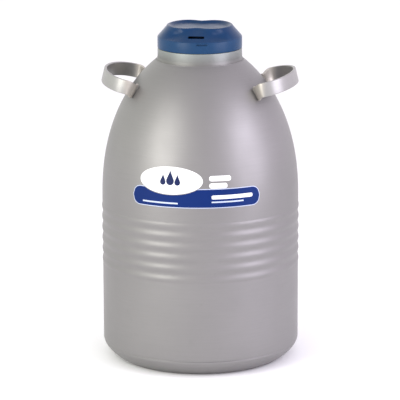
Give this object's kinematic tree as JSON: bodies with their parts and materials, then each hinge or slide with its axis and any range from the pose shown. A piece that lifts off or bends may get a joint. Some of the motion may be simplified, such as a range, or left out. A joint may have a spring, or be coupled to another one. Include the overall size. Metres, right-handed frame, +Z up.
{
  "type": "liquid nitrogen dewar",
  "caption": "Vacuum-insulated aluminium flask with a ribbed wall, domed shoulder, strap handles and a lift-off plastic cap with a foam neck plug.",
  "frame": {"origin": "centre of the base, on the floor", "axes": "+Z up along the neck; the labels face -Y; the handles are on +X and -X"},
  "size_m": [0.3958, 0.3958, 0.6738],
  "materials": {
    "satin_silver": "satin pearl silver",
    "collar_paint": "pale satin",
    "neck_laminate": "glass-epoxy laminate",
    "bare_aluminium": "machined",
    "foil_blanket": "crinkled foil and paper layers",
    "sieve_beads": "granular",
    "port_plastic": "moulded",
    "black_rubber": "matte",
    "white_plastic": "moulded",
    "handle_metal": "brushed",
    "label_blue": "printed vinyl",
    "label_white": "printed vinyl",
    "blue_plastic": "moulded, satin",
    "white_foam": "rigid foam"
  },
  "bodies": {
    "flask": {"outer_shell": "satin_silver", "bottom_head": "satin_silver", "neck_collar": "collar_paint", "neck_tube": "neck_laminate", "upper_neck_ring": "bare_aluminium", "lower_neck_ring": "bare_aluminium", "inner_vessel_top": "bare_aluminium", "inner_vessel_bottom": "bare_aluminium", "insulation_top": "foil_blanket", "insulation_side": "foil_blanket", "insulation_bottom": "foil_blanket", "adsorbent_tray": "bare_aluminium", "adsorbent_bed": "sieve_beads", "getter_capsule": "bare_aluminium", "port_stem": "bare_aluminium", "port_cover": "white_plastic", "handle_left": "handle_metal", "handle_right": "handle_metal", "label_band": "label_blue", "label_oval": "label_white"},
    "cap": {"cap_cover": "blue_plastic", "cap_liner": "white_plastic", "cap_insulation": "white_foam", "neck_plug": "white_foam"},
    "relief_plug": {"port_plug": "port_plastic", "port_oring": "black_rubber"}
  },
  "joints": [
    {"name": "cap_lift", "type": "slide", "parent": "flask", "child": "cap", "axis": [0, 0, 1], "range_m": [0, 0.16]},
    {"name": "port_plug_lift", "type": "slide", "parent": "flask", "child": "relief_plug", "axis": [0, 0, 1], "range_m": [0, 0.0025]}
  ]
}
